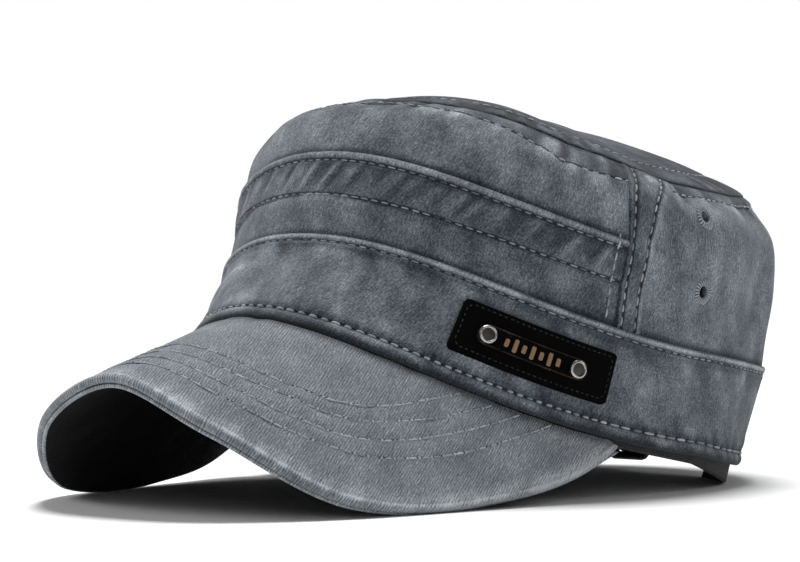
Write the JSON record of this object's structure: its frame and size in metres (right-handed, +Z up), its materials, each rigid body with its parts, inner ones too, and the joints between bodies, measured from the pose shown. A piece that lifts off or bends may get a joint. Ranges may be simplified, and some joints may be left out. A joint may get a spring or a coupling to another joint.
{
  "type": "flat-topped cloth cap",
  "caption": "Flat-topped washed cotton cap with an arched visor, a banded crown, a rivetted leather patch and an adjustable back strap.",
  "frame": {"origin": "on the surface that the cap rests on, under the middle of its bounding box", "axes": "+Z up; the visor points along -Y; +X is the wearer's left, the side with the leather patch"},
  "size_m": [0.1642, 0.269, 0.1219],
  "materials": {
    "washed_cotton": "washed cotton twill, matt, worn lighter on its ridges",
    "dark_cotton": "washed cotton twill, the darker tuck",
    "visor_cotton": "washed cotton twill, worn lighter",
    "under_cotton": "dark cotton lining of the visor, matt",
    "black_webbing": "black woven cotton, matt",
    "black_leather": "black leather, satin",
    "bright_metal": "bright nickel",
    "dark_metal": "dark nickel, satin"
  },
  "bodies": {
    "root": {"band": "washed_cotton", "front_panel": "washed_cotton", "back_panel": "washed_cotton", "top_panel": "washed_cotton", "tuck_strip": "dark_cotton", "side_seam_left": "washed_cotton", "side_seam_right": "washed_cotton", "visor_top": "visor_cotton", "visor_under": "under_cotton", "sweatband": "black_webbing", "opening_binding": "washed_cotton", "strap_left": "black_webbing", "strap_right": "black_webbing", "buckle": "dark_metal", "patch": "black_leather", "patch_plate": "black_leather", "rivet_front": "bright_metal", "rivet_rear": "bright_metal", "eyelet_left_upper": "washed_cotton", "eyelet_left_lower": "washed_cotton", "eyelet_right_upper": "washed_cotton", "eyelet_right_lower": "washed_cotton"}
  },
  "joints": []
}
